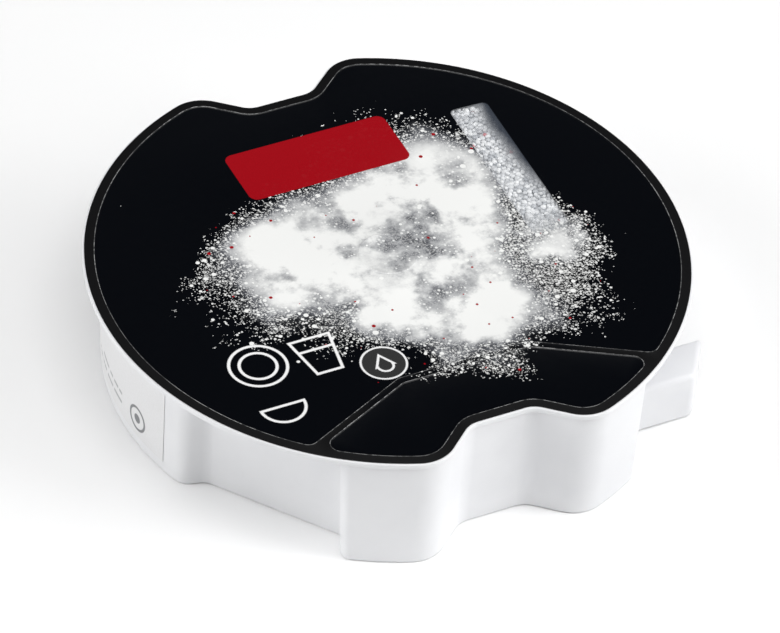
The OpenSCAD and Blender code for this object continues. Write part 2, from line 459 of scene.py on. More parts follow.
def worked(base: bpy.types.Object, tool: bpy.types.Object, cut: Cut) -> bpy.types.Object:
    """Joins a tool shape to a base or removes it, and deletes the tool shape.

    Args:
        base: The object that is changed.
        tool: The closed shape that is joined or removed.
        cut: What is done with it.

    Returns:
        The changed base.
    """
    step = base.modifiers.new(cut.name.lower(), "BOOLEAN")
    step.operation = cut.value
    step.solver = "EXACT"
    step.object = tool
    graph = bpy.context.evaluated_depsgraph_get()
    result = bpy.data.meshes.new_from_object(base.evaluated_get(graph))
    base.modifiers.clear()
    old, base.data = base.data, result
    bpy.data.meshes.remove(old)
    bpy.data.meshes.remove(tool.data)
    return base


def cleaned(thing: bpy.types.Object, merge: float = 1e-6) -> bpy.types.Object:
    """Merges the doubles that the cuts leave and drops loose points.

    Args:
        thing: The object that is cleaned.
        merge: Distance in metres under which points are merged.

    Returns:
        The same object.
    """
    mesh = bmesh.new()
    mesh.from_mesh(thing.data)
    bmesh.ops.remove_doubles(mesh, verts=mesh.verts, dist=merge)
    bmesh.ops.dissolve_degenerate(mesh, edges=mesh.edges, dist=merge)
    loose = [v for v in mesh.verts if not v.link_faces]
    bmesh.ops.delete(mesh, geom=loose, context="VERTS")
    mesh.to_mesh(thing.data)
    mesh.free()
    return thing


def rounded_foot(radius: float, steps: int = 5) -> list[tuple[float, float]]:
    """Gives insets and heights around a rounded lower edge.

    Args:
        radius: Radius of the rounding in millimetres.
        steps: Pieces in its arc.

    Returns:
        Pairs of inset and height, from the flat underside to the wall.
    """
    turns = [math.pi / 2 * i / steps for i in range(steps + 1)]
    return [(radius * (1 - math.sin(a)), radius * (1 - math.cos(a))) for a in turns]


class Field:
    """A number's or colour's socket that Python's operators work on."""

    def __init__(self, graph: "Graph", socket: bpy.types.NodeSocket) -> None:
        """Wraps a socket of a graph."""
        self.graph = graph
        self.socket = socket

    def math(self, operation: str, *others: "Field | float") -> "Field":
        """Adds a Math node with this value first."""
        return self.graph.math(operation, self, *others)

    def __add__(self, other: "Field | float") -> "Field":
        """Adds."""
        return self.math("ADD", other)

    __radd__ = __add__

    def __mul__(self, other: "Field | float") -> "Field":
        """Multiplies."""
        return self.math("MULTIPLY", other)

    def __sub__(self, other: "Field | float") -> "Field":
        """Subtracts."""
        return self.math("SUBTRACT", other)

    def __rsub__(self, other: float) -> "Field":
        """Subtracts this value from a number."""
        return self.graph.math("SUBTRACT", other, self)

    def __truediv__(self, other: "Field | float") -> "Field":
        """Divides."""
        return self.math("DIVIDE", other)

    def __pow__(self, other: float) -> "Field":
        """Raises to a power."""
        return self.math("POWER", other)

    def __abs__(self) -> "Field":
        """Drops the sign."""
        return self.math("ABSOLUTE")

    def least(self, other: "Field | float") -> "Field":
        """Gives the smaller of two values."""
        return self.math("MINIMUM", other)

    def most(self, other: "Field | float") -> "Field":
        """Gives the larger of two values."""
        return self.math("MAXIMUM", other)

    def below(self, other: "Field | float") -> "Field":
        """Gives 1 where this value is the smaller one."""
        return self.math("LESS_THAN", other)

    def sine(self) -> "Field":
        """Gives the sine of an angle in radians."""
        return self.math("SINE")

    def root(self) -> "Field":
        """Gives the square root."""
        return self.math("SQRT")

    def held(self) -> "Field":
        """Keeps the value between 0 and 1."""
        return self.most(0.0).least(1.0)

    def rising(self, low: float, high: float) -> "Field":
        """Goes smoothly from 0 to 1.

        Args:
            low: Value up to which it is 0.
            high: Value from which it is 1.

        Returns:
            The eased value.
        """
        return self.graph.out(
            "ShaderNodeMapRange", "Result", {"interpolation_type": "SMOOTHSTEP"},
            {"Value": self, "From Min": low, "From Max": high})

    def inside(self, soft: float) -> "Field":
        """Gives 1 where this distance is negative, with a soft edge in millimetres."""
        return (0.5 - self / (2 * soft)).held()


class Graph:
    """The nodes of a material or of the world."""

    def __init__(self, owner: bpy.types.ID) -> None:
        """Starts with an empty node tree.

        Args:
            owner: The material or world that the tree belongs to.
        """
        self.owner = owner
        owner.use_nodes = True
        self.tree = owner.node_tree
        self.tree.nodes.clear()

    @classmethod
    def named(cls, name: str) -> "Graph":
        """Starts a new material."""
        return cls(bpy.data.materials.new(name))

    def node(self, kind: str, settings: dict | None = None,
             inputs: dict | None = None) -> bpy.types.Node:
        """Adds a node.

        Args:
            kind: The node's type.
            settings: Its settings, which are set first.
            inputs: Values or fields for its sockets, by name or number.

        Returns:
            The node.
        """
        made = self.tree.nodes.new(kind)
        for key, value in (settings or {}).items():
            setattr(made, key, value)
        for key, value in (inputs or {}).items():
            if isinstance(value, Field):
                self.tree.links.new(value.socket, made.inputs[key])
            else:
                made.inputs[key].default_value = value
        return made

    def out(self, kind: str, output: str | int, settings: dict | None = None,
            inputs: dict | None = None) -> Field:
        """Adds a node and gives one of its outputs."""
        return Field(self, self.node(kind, settings, inputs).outputs[output])

    def math(self, operation: str, *values: Field | float) -> Field:
        """Adds a Math node."""
        return self.out("ShaderNodeMath", 0, {"operation": operation}, dict(enumerate(values)))

    def place(self) -> Field:
        """Gives the object coordinates in millimetres."""
        here = self.out("ShaderNodeTexCoord", "Object")
        return self.out("ShaderNodeVectorMath", "Vector", {"operation": "SCALE"},
                        {0: here, "Scale": 1 / MM})

    def parts(self, vector: Field) -> tuple[Field, Field, Field]:
        """Splits a vector into its three numbers."""
        split = self.node("ShaderNodeSeparateXYZ", inputs={0: vector})
        return tuple(Field(self, o) for o in split.outputs)

    def vector(self, x: Field | float, y: Field | float, z: Field | float = 0.0) -> Field:
        """Joins three numbers."""
        return self.out("ShaderNodeCombineXYZ", 0, inputs={0: x, 1: y, 2: z})

    def moved(self, vector: Field, step: tuple[float, float, float]) -> Field:
        """Adds a constant to a vector."""
        return self.out("ShaderNodeVectorMath", "Vector", {"operation": "ADD"},
                        {0: vector, 1: step})

    def noise(self, vector: Field, size: float, detail: float = 3.0, rough: float = 0.55) -> Field:
        """Adds a noise.

        Args:
            vector: Place in millimetres.
            size: Size of its blotches in millimetres.
            detail: How many finer noises are laid over it.
            rough: Strength of each finer noise.

        Returns:
            A value from 0 to 1.
        """
        return self.out("ShaderNodeTexNoise", "Fac", None,
                        {"Vector": vector, "Scale": 1 / size, "Detail": detail,
                         "Roughness": rough})

    def cells(self, vector: Field, size: float) -> tuple[Field, Field, Field]:
        """Adds a Voronoi pattern.

        Args:
            vector: Place in millimetres.
            size: Size of a cell in millimetres.

        Returns:
            Distance to the cell's point in cells, and two random numbers of the cell.
        """
        made = self.node("ShaderNodeTexVoronoi", {"voronoi_dimensions": "2D"},
                         {"Vector": vector, "Scale": 1 / size})
        tint = self.node("ShaderNodeSeparateColor", inputs={0: Field(self, made.outputs["Color"])})
        return (Field(self, made.outputs["Distance"]), Field(self, tint.outputs[0]),
                Field(self, tint.outputs[1]))

    def blend(self, amount: Field, low: "Field | tuple", high: "Field | tuple") -> Field:
        """Mixes two colours."""
        return self.out("ShaderNodeMix", 2, {"data_type": "RGBA"}, {0: amount, 6: low, 7: high})

    def own(self, name: str) -> Field:
        """Reads a number that the mesh carries."""
        return self.out("ShaderNodeAttribute", "Fac", {"attribute_name": name})

    def along(self, vector: Field, way: Vector) -> Field:
        """Measures a vector along a direction."""
        return self.out("ShaderNodeVectorMath", "Value", {"operation": "DOT_PRODUCT"},
                        {0: vector, 1: tuple(way.normalized())})

    def bump(self, height: Field, strength: float, distance: float) -> Field:
        """Adds a Bump node, with its distance in millimetres."""
        return self.out("ShaderNodeBump", "Normal", None,
                        {"Height": height, "Strength": strength, "Distance": distance * MM})

    def finish(self, **inputs: "Field | float | tuple") -> bpy.types.Material:
        """Closes the material with a Principled shader.

        Args:
            inputs: Values of the shader's sockets, with _ for a space in a name.

        Returns:
            The material.
        """
        named = {key.replace("_", " "): value for key, value in inputs.items()}
        shader = self.out("ShaderNodeBsdfPrincipled", 0, None, named)
        self.node("ShaderNodeOutputMaterial", inputs={"Surface": shader})
        return self.owner


def grey(level: float) -> Colour:
    """Gives a neutral colour."""
    return (level, level, level, 1.0)


def shifted(g: Graph, place: Field, shift: Triple | None) -> Field:
    """Moves a place by a shift, where there is one."""
    return g.moved(place, shift) if shift else place


def from_point(x: Field, y: Field, at: Pair) -> Field:
    """Gives the distance to a point."""
    return ((x - at[0]) ** 2 + (y - at[1]) ** 2).root()


def to_disc(x: Field, y: Field, at: Pair, radius: float) -> Field:
    """Gives the distance to a circle, negative inside."""
    return from_point(x, y, at) - radius


@dataclass(frozen=True)
class Blotches:
    """A noise of one size, laid over a place with its own shift."""

    size: float
    detail: float
    rough: float
    shift: Triple | None = None

    def over(self, g: Graph, place: Field) -> Field:
        """Lays the noise over a place in millimetres."""
        return g.noise(shifted(g, place, self.shift), self.size, self.detail, self.rough)


@dataclass(frozen=True)
class Grains:
    """Printed grains of one size, one to a cell."""

    cell: float
    size: float
    spread: Pair
    share: float
    shift: Triple | None = None
    smallest: float = 0.25
    crispness: float = 6.0

    def over(self, g: Graph, place: Field, spread: Field, loose: Field | float = 1.0) -> Field:
        """Scatters the grains.

        Args:
            g: The material's graph.
            place: Place in millimetres.
            spread: How strongly the powder reaches a place.
            loose: Share of the grains that show there.

        Returns:
            1 on a grain.
        """
        away, one, two = g.cells(shifted(g, place, self.shift), self.cell)
        amount = spread.rising(*self.spread) * self.share * loose
        radius = (two * (1.0 - self.smallest) + self.smallest) * self.size
        return ((radius - away) * self.crispness / self.size).held() * one.below(amount)


@dataclass(frozen=True)
class MouldedPlastic:
    """Satin white polypropylene with faint flow marks and a fine moulded grain."""

    colour: Colour = (0.83, 0.835, 0.85, 1.0)
    shade: Colour = (0.78, 0.785, 0.805, 1.0)
    roughness: float = 0.36
    flow: Blotches = Blotches(26.0, 4.0, 0.5)
    flow_range: Pair = (0.35, 0.75)
    flow_rough: float = 0.05
    grain: Blotches = Blotches(0.35, 2.0, 0.6)
    grain_rough: float = 0.06
    grain_height: float = 0.25
    swell: Blotches = Blotches(14.0, 2.0, 0.4)
    specular: float = 0.45
    bump: Pair = (0.10, 0.10)

    def material(self) -> bpy.types.Material:
        """Builds the material.

        Returns:
            The material.
        """
        g = Graph.named("moulded_plastic")
        here = g.place()
        flow, grain, swell = (b.over(g, here) for b in (self.flow, self.grain, self.swell))
        return g.finish(
            Base_Color=g.blend(flow.rising(*self.flow_range), self.colour, self.shade),
            Roughness=self.roughness + grain * self.grain_rough + flow * self.flow_rough,
            Specular_IOR_Level=self.specular,
            Normal=g.bump(grain * self.grain_height + swell, *self.bump),
        )


@dataclass(frozen=True)
class LabelPaper:
    """Matt paper label with a plain round mark and rows of short grey bars.

    The print is placed along the wall from the label's near end, whose angle from -X is near. Each
    row has its height, start and end. The roughness has a base and a share of the fibre's noise.
    """

    colour: Colour = (0.80, 0.80, 0.81, 1.0)
    ink: Colour = (0.22, 0.225, 0.235, 1.0)
    near: float = 14.8
    radius: float = 75.3
    mark_at: Pair = (12.0, 9.5)
    mark_r: float = 3.6
    mark_line: float = 0.4
    dot_share: float = 0.4
    rows: tuple[Triple, ...] = ((7.6, 21.0, 44.0), (10.6, 21.0, 38.0))
    row_half: float = 0.45
    row_ink: float = 0.6
    word: Blotches = Blotches(1.9, 2.0, 0.5)
    word_range: Pair = (0.44, 0.50)
    word_step: float = 9.0
    soft: float = 0.12
    fibre: Blotches = Blotches(0.5, 4.0, 0.7)
    fibre_range: Pair = (0.3, 0.8)
    fibre_grey: float = 0.76
    roughness: Pair = (0.55, 0.15)
    specular: float = 0.3
    bump: Pair = (0.12, 0.04)

    def print_on(self, g: Graph, here: Field) -> Field:
        """Draws the print.

        Args:
            g: The material's graph.
            here: Place in millimetres.

        Returns:
            1 on the ink.
        """
        x, y, z = g.parts(here)
        turn = g.math("ARCTAN2", 0.0 - y, 0.0 - x)
        u = (math.radians(self.near) - turn) * self.radius
        away = from_point(u, z, self.mark_at)
        ink = (abs(away - self.mark_r) - self.mark_line).inside(self.soft)
        ink = ink.most((away - self.mark_r * self.dot_share).inside(self.soft))
        for height, start, end in self.rows:
            words = self.word.over(g, g.vector(u, height * self.word_step))
            middle, half = (start + end) / 2, (end - start) / 2
            row = ((abs(z - height) - self.row_half).inside(self.soft)
                   * (abs(u - middle) - half).inside(self.soft))
            ink = ink.most(row * words.rising(*self.word_range) * self.row_ink)
        return ink

    def material(self) -> bpy.types.Material:
        """Builds the material.

        Returns:
            The material.
        """
        g = Graph.named("label_paper")
        here = g.place()
        fibre = self.fibre.over(g, here)
        paper = g.blend(fibre.rising(*self.fibre_range), self.colour, grey(self.fibre_grey))
        return g.finish(
            Base_Color=g.blend(self.print_on(g, here), paper, self.ink),
            Roughness=self.roughness[0] + fibre * self.roughness[1],
            Specular_IOR_Level=self.specular,
            Normal=g.bump(fibre, *self.bump),
        )


@dataclass(frozen=True)
class GranulateBeads:
    """Pale beads, a few of them red, with a dusty surface.

    Each roughness has a base and a share of its noise, and heap_tint_and_gap_shade has the shares
    of a cell's random tint and of the distance to its point, which paints shade into the gaps
    between grains.
    """

    light: Colour = (0.93, 0.94, 0.95, 1.0)
    dark: Colour = (0.45, 0.47, 0.50, 1.0)
    red: Colour = (0.62, 0.22, 0.24, 1.0)
    dust: Blotches = Blotches(0.45, 3.0, 0.6)
    bead_rough: Pair = (0.30, 0.2)
    bead_specular: float = 0.7
    bead_bump: Pair = (0.35, 0.08)
    heap_cell: float = 1.5
    heap_tint_and_gap_shade: Pair = (0.7, 0.6)
    heap_rough: Pair = (0.5, 0.2)
    heap_bump: Pair = (0.9, 0.6)

    def loose(self) -> bpy.types.Material:
        """Builds the finish of the loose beads, which carry their own tint.

        Returns:
            The material.
        """
        g = Graph.named("granulate_beads")
        dust = self.dust.over(g, g.place())
        pale = g.blend(g.own("tint"), self.light, self.dark)
        return g.finish(
            Base_Color=g.blend(g.own("red"), pale, self.red),
            Roughness=self.bead_rough[0] + dust * self.bead_rough[1],
            Specular_IOR_Level=self.bead_specular,
            Normal=g.bump(dust, *self.bead_bump),
        )

    def heap(self) -> bpy.types.Material:
        """Builds the finish of the granulate's bulk.

        Returns:
            The material.
        """
        g = Graph.named("granulate_heap")
        away, tint, _ = g.cells(g.place(), self.heap_cell)
        # Painted shade: each grain darkens towards its cell's edge, into the gaps between grains.
        tint_and_gap_shade = tint * self.heap_tint_and_gap_shade[0] + away * self.heap_tint_and_gap_shade[1]
        return g.finish(
            Base_Color=g.blend(tint_and_gap_shade, self.light, self.dark),
            Roughness=self.heap_rough[0] + tint * self.heap_rough[1],
            Normal=g.bump(1.0 - away, *self.heap_bump),
        )


@dataclass(frozen=True)
class PowderLayers:
    """What the printed powder gives the film."""

    haze: Field
    cover: Field
    specks: Field
    billow: Field
    fine: Field


@dataclass(frozen=True)
class PowderPrint:
    """A printed whirl of powder with three arms, a gust beside it and grains around both.

    An edge is a pair of distances from the whirl's radius, between which something fades.
    """

    at: Pair = (3.0, -1.0)
    radius: float = 44.0
    turn: float = 0.9
    arms: float = 3.0
    arm_twist: float = 0.05
    arm_reach: float = 7.0
    sway: float = 26.0
    ruffle: float = 9.0
    raised: float = 4.5
    body_edge: Pair = (-20.0, 5.0)
    near_edge: Pair = (-4.0, 8.0)
    spread_edge: Pair = (-14.0, 21.0)
    spread_ruffle: float = 0.9
    spread_sway: float = 0.6
    middle_r: Pair = (4.0, 26.0)
    hollow_range: Pair = (0.40, 0.68)
    fullness: float = 1.28
    middle_loss: float = 0.50
    hollow_loss: float = 0.70
    billow_share: float = 0.60
    fine_share: float = 0.22
    gust_at: Pair = (43.0, -12.0)
    gust_ruffle: float = 20.0
    gust_r: Pair = (3.0, 13.0)
    gust_share: float = 0.8
    gust_spread_r: Pair = (4.0, 25.0)
    gust_spread: float = 0.65
    cloud_range: Pair = (0.34, 1.0)
    haze_range: Pair = (0.05, 0.70)
    haze_share: float = 0.75
    body_cover: float = 0.75
    dust_tone: Pair = (0.36, 0.30)
    sand_tone: float = 0.85
    drift: Blotches = Blotches(26.0, 2.0, 0.5)
    curl: Blotches = Blotches(24.0, 2.0, 0.5, (90.0, 40.0, 0.0))
    puff: Blotches = Blotches(8.0, 5.0, 0.6, (15.0, 60.0, 0.0))
    billow: Blotches = Blotches(9.0, 6.0, 0.62, (7.0, 130.0, 0.0))
    fine: Blotches = Blotches(2.2, 5.0, 0.75)
    hollow: Blotches = Blotches(19.0, 6.0, 0.62, (50.0, 12.0, 0.0))
    dust: Grains = Grains(0.42, 0.75, (0.25, 1.1), 0.85)
    sand: Grains = Grains(0.85, 0.60, (0.25, 1.1), 0.62)
    coarse: Grains = Grains(2.0, 0.36, (0.22, 1.1), 0.34)
    chunks: Grains = Grains(4.6, 0.20, (0.15, 0.6), 0.18, (3.0, 8.0, 0.0))
    specks: Grains = Grains(7.0, 0.085, (0.2, 0.5), 0.30, (31.0, 17.0, 0.0))

    def within(self, past: Field, edge: Pair) -> Field:
        """Gives 1 inside an edge of the whirl and 0 outside it."""
        return 1.0 - past.rising(self.radius + edge[0], self.radius + edge[1])

    def layers(self, g: Graph, x: Field, y: Field, flat: Field) -> PowderLayers:
        """Draws the powder.

        Args:
            g: The material's graph.
            x: Place across the film in millimetres.
            y: Place along it.
            flat: Both as a vector.

        Returns:
            The layers that the film's colour, roughness and bump are made of.
        """
        drift, curl, puff = (b.over(g, flat) - 0.5 for b in (self.drift, self.curl, self.puff))
        billow, fine = self.billow.over(g, flat), self.fine.over(g, flat)
        u = x - self.at[0] + drift * self.sway + puff * self.ruffle
        v = y - self.at[1] + curl * self.sway + billow * self.ruffle - self.raised
        reach = (u**2 + v**2).root()
        around = g.math("ARCTAN2", v, u) * self.arms - reach * self.arm_twist + self.turn
        past = reach - around.sine() * self.arm_reach
        body = self.within(past, self.body_edge)
        hollow = self.hollow.over(g, flat).rising(*self.hollow_range)
        middle = 1.0 - reach.rising(*self.middle_r)
        from_gust = from_point(x, y, self.gust_at) + puff * self.gust_ruffle
        gust = 1.0 - from_gust.rising(*self.gust_r)
        full = self.fullness - middle * self.middle_loss - hollow * self.hollow_loss
        density = (body * full + (billow - 0.5) * self.billow_share
                   + (fine - 0.5) * self.fine_share + gust * self.gust_share)
        near = self.within(past, self.near_edge).most(gust)
        cloud = density.rising(*self.cloud_range) * near
        haze = density.rising(*self.haze_range) * near * self.haze_share
        spread = (self.within(past, self.spread_edge) + (billow - 0.5) * self.spread_ruffle
                  + (drift + curl) * self.spread_sway
                  + (1.0 - from_gust.rising(*self.gust_spread_r)) * self.gust_spread)
        loose = 1.0 - body * self.body_cover
        dust = self.dust.over(g, flat, spread) * (loose * self.dust_tone[0] + self.dust_tone[1])
        sand = self.sand.over(g, flat, spread, loose) * self.sand_tone
        coarse = self.coarse.over(g, flat, spread, loose)
        chunks = self.chunks.over(g, flat, spread, loose)
        cover = cloud.most(dust).most(sand).most(coarse).most(chunks).held()
        return PowderLayers(haze, cover, self.specks.over(g, flat, spread), billow, fine)


@dataclass(frozen=True)
class SymbolPrint:
    """Plain line symbols: a plate, a tumbler and a bowl, and a round badge with a drop."""

    line: float = 0.40
    soft: float = 0.12
    white: float = 0.9
    plate_at: Pair = (-50.0, -26.5)
    plate_radii: Pair = (7.6, 4.9)
    cup_at: Pair = (-33.5, -28.5)
    cup_half: Pair = (4.6, 6.6)
    cup_lean: float = 0.16
    cup_fill: float = 2.2
    bowl_at: Pair = (-50.5, -42.5)
    bowl_r: float = 6.0
    badge_at: Pair = (-19.5, -37.8)
    badge_r: float = 6.0
    badge_line: float = 0.7
    badge_grey: float = 0.035
    badge_soft: float = 0.1
    drop_size: float = 3.4
    drop_line: float = 0.32
    drop_low: float = 0.3
    drop_round: float = 0.62
    drop_slant: Pair = (0.86, 0.51)

    def drop(self, x: Field, y: Field) -> Field:
        """Gives the distance to an upright drop: a circle with a tapering top.

        Args:
            x: Place across the film in millimetres.
            y: Place along it.

        Returns:
            The distance, negative inside.
        """
        size, low, at = self.drop_size, self.drop_size * self.drop_low, self.badge_at
        ball = to_disc(x, y, (at[0], at[1] - low), size * self.drop_round)
        u, v = abs(x - at[0]), y - at[1] + low
        slant = u * self.drop_slant[0] + v * self.drop_slant[1] - size * self.drop_round
        return ball.least(slant.most(0.0 - v))

    def badge(self, x: Field, y: Field) -> Field:
        """Gives the distance to the badge."""
        return to_disc(x, y, self.badge_at, self.badge_r)

    def strokes(self, x: Field, y: Field) -> Field:
        """Draws the symbols' lines.

        Args:
            x: Place across the film in millimetres.
            y: Place along it.

        Returns:
            1 on a line.
        """
        up = y - self.cup_at[1]
        cup = abs(x - self.cup_at[0]) - self.cup_half[0] - up * self.cup_lean
        bowl = to_disc(x, y, self.bowl_at, self.bowl_r).most(y - self.bowl_at[1])
        nearest = abs(bowl)
        for stroke in (*(abs(to_disc(x, y, self.plate_at, r)) for r in self.plate_radii),
                       abs(cup.most(abs(up) - self.cup_half[1])),
                       abs(up - self.cup_fill).most(cup)):
            nearest = nearest.least(stroke)
        ring = (abs(self.badge(x, y)) - self.line * self.badge_line).inside(self.soft)
        drop = (abs(self.drop(x, y)) - self.drop_line).inside(self.soft)
        return (nearest - self.line).inside(self.soft).most(ring).most(drop)


@dataclass(frozen=True)
class PrintedFilm:
    """Black printed film with powder, a red patch, line symbols and a clear window, with painted
    highlights along the seal creases and painted shade at the upper right side of the window.

    A range is where something fades in, and a pair of shares is a factor and what is added to it.
    """

    window_at: Pair = (45.3, 18.9)
    window_half: Pair = (5.5, 27.0)
    window_turn: float = -1.4
    window_r: float = 1.6
    window_soft: float = 0.12
    window_ruffle: float = 5.0
    covered_y: Pair = (-10.0, 3.0)
    # The window's painted shade: where it fades in across and along the window, and how much
    # clearness it takes away.
    shaded_x: Pair = (0.5, 5.5)
    shaded_y: Pair = (4.0, 20.0)
    clearness: float = 0.93
    shaded_loss: float = 0.62
    patch_at: Pair = (-0.8, 42.0)
    patch_half: Pair = (23.6, 9.6)
    patch_r: float = 2.4
    patch_soft: float = 0.08
    powder: PowderPrint = PowderPrint()
    symbols: SymbolPrint = SymbolPrint()
    # Painted highlights along the creases: the light's direction on the hub ring, where it fades
    # in, and how the line breaks into dashes.
    glance: Triple = (0.48, 0.88, 0.0)
    glance_range: Pair = (0.0, 6.0)
    hub_edge: Pair = (10.0, 11.0)
    stretch: Blotches = Blotches(30.0, 1.0, 0.5, (70.0, 25.0, 0.0))
    stretch_range: Pair = (0.35, 0.65)
    stretch_share: Pair = (0.7, 0.3)
    dash: Blotches = Blotches(1.6, 3.0, 0.7)
    dash_range: Pair = (0.42, 0.56)
    dash_share: Pair = (0.85, 0.15)
    crease_range: Pair = (0.55, 1.0)
    glint_share: float = 0.8
    glint_grey: float = 0.6
    land_edge: Pair = (57.0, 64.0)
    land_share: Pair = (0.75, 0.25)
    wave: Blotches = Blotches(5.0, 2.0, 0.5)
    wave_fine: float = 0.15
    bump: Pair = (0.06, 0.15)
    roughness: float = 0.30
    cover_rough: float = 0.12
    fine_rough: float = 0.06
    glint_gloss: float = 0.08
    specular: float = 0.32
    black: Colour = (0.0009, 0.0014, 0.0028, 1.0)
    land: Colour = (0.0066, 0.0066, 0.0072, 1.0)
    white: Colour = (0.88, 0.885, 0.87, 1.0)
    smoke: Colour = (0.25, 0.26, 0.29, 1.0)
    red: Colour = (0.33, 0.003, 0.008, 1.0)
    gleam: Colour = (0.60, 0.62, 0.65, 1.0)
    # Colour of the painted shade in the window.
    shadow: Colour = (0.055, 0.065, 0.085, 1.0)

    def box(self, x: Field, y: Field, at: Pair, half: Pair, radius: float,
            turn: float = 0.0) -> Field:
        """Gives the distance to a rounded rectangle.

        Args:
            x: Place across the film in millimetres.
            y: Place along it.
            at: Centre.
            half: Half sizes.
            radius: Rounding of the corners.
            turn: Turn in degrees.

        Returns:
            The distance, negative inside.
        """
        c, s = math.cos(math.radians(turn)), math.sin(math.radians(turn))
        u, v = x - at[0], y - at[1]
        across = abs(u * c + v * s) - (half[0] - radius)
        along = abs(v * c - u * s) - (half[1] - radius)
        outer = (across.most(0.0) ** 2 + along.most(0.0) ** 2).root()
        return outer + across.most(along).least(0.0) - radius

    def crease_glint(self, g: Graph, here: Field, flat: Field, from_hub: Field) -> Field:
        """Paints highlights: bright broken glints where a seal creases the film, on the hub ring
        only on its side towards the light.

        Args:
            g: The material's graph.
            here: Place in millimetres.
            flat: The same without its height.
            from_hub: Distance from the disc's axis.

        Returns:
            1 where the line is brightest.
        """
        # On the hub ring the painted highlight shows only on the side that faces glance.
        lit = g.along(here, Vector(self.glance)).rising(*self.glance_range)
        on_hub = 1.0 - from_hub.rising(*self.hub_edge)
        stretch = self.stretch.over(g, flat).rising(*self.stretch_range)
        dashes = (self.dash.over(g, flat).rising(*self.dash_range)
                  * (stretch * self.stretch_share[0] + self.stretch_share[1]))
        return (g.own("crease").rising(*self.crease_range)
                * (dashes * self.dash_share[0] + self.dash_share[1])
                * (1.0 - on_hub * (1.0 - lit)))

    def material(self) -> bpy.types.Material:
        """Builds the material.

        Returns:
            The material.
        """
        g = Graph.named("printed_film")
        here = g.place()
        x, y, _ = g.parts(here)
        flat = g.vector(x, y)
        powder = self.powder.layers(g, x, y, flat)
        from_hub = (x**2 + y**2).root()
        crease_glint = self.crease_glint(g, here, flat, from_hub)
        on_land = from_hub.rising(*self.land_edge) * self.land_share[0] + self.land_share[1]
        patch = self.box(x, y, self.patch_at, self.patch_half, self.patch_r)

        colour = g.blend(g.own("land") * on_land, self.black, self.land)
        badge = self.symbols.badge(x, y).inside(self.symbols.badge_soft)
        for amount, ink in ((powder.haze, self.smoke), (powder.cover, self.white),
                            (powder.specks, self.red), (badge, grey(self.symbols.badge_grey)),
                            (patch.inside(self.patch_soft), self.red),
                            (self.symbols.strokes(x, y), grey(self.symbols.white)),
                            # Painted highlights along the seal creases.
                            (crease_glint * self.glint_share, grey(self.glint_grey))):
            colour = g.blend(amount, colour, ink)

        window = self.box(x, y, self.window_at, self.window_half, self.window_r,
                          self.window_turn)
        over = powder.cover * (1.0 - y.rising(*self.covered_y))
        clear = window.inside(self.window_soft) * (1.0 - over)
        # Painted shade: towards its upper right edge the window darkens to the shadow colour and
        # gets less clear, where the granulate sinks away under the film.
        across = x - self.window_at[0] + (powder.billow - 0.5) * self.window_ruffle
        shaded = across.rising(*self.shaded_x) * y.rising(*self.shaded_y)
        colour = g.blend(clear, colour, g.blend(shaded, self.gleam, self.shadow))
        return g.finish(
            Base_Color=colour,
            Roughness=(self.roughness + powder.cover * self.cover_rough
                       + powder.fine * self.fine_rough - crease_glint * self.glint_gloss),
            Specular_IOR_Level=self.specular,
            Alpha=1.0 - clear * (self.clearness - shaded * self.shaded_loss),
            Normal=g.bump(self.wave.over(g, flat) + powder.fine * self.wave_fine, *self.bump),
        )


@dataclass(frozen=True)
class StudioFloor:
    """Plain pale paper sweep."""

    low: float = 0.965
    high: float = 0.975
    cloud: Blotches = Blotches(160.0, 2.0, 0.5)
    roughness: float = 0.8
    specular: float = 0.1

    def material(self) -> bpy.types.Material:
        """Builds the material.

        Returns:
            The material.
        """
        g = Graph.named("studio_floor")
        return g.finish(
            Base_Color=g.blend(self.cloud.over(g, g.place()), grey(self.low), grey(self.high)),
            Roughness=self.roughness,
            Specular_IOR_Level=self.specular,
        )


def dress(thing: bpy.types.Object, material: bpy.types.Material, slot: Slot,
          *nodes: str) -> bpy.types.Object:
    """Gives a new piece its finish and its place in the frame.

    Args:
        thing: The piece.
        material: Its finish.
        slot: The record's slot of that finish. Not used.
        nodes: CAD nodes that the piece stands for.

    Returns:
        The piece.
    """
    thing.data.materials.clear()
    thing.data.materials.append(material)
    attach(thing, BODY)
    if nodes:
        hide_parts(*nodes)
    log.info("%s: %d faces", thing.name, len(thing.data.polygons))
    return thing


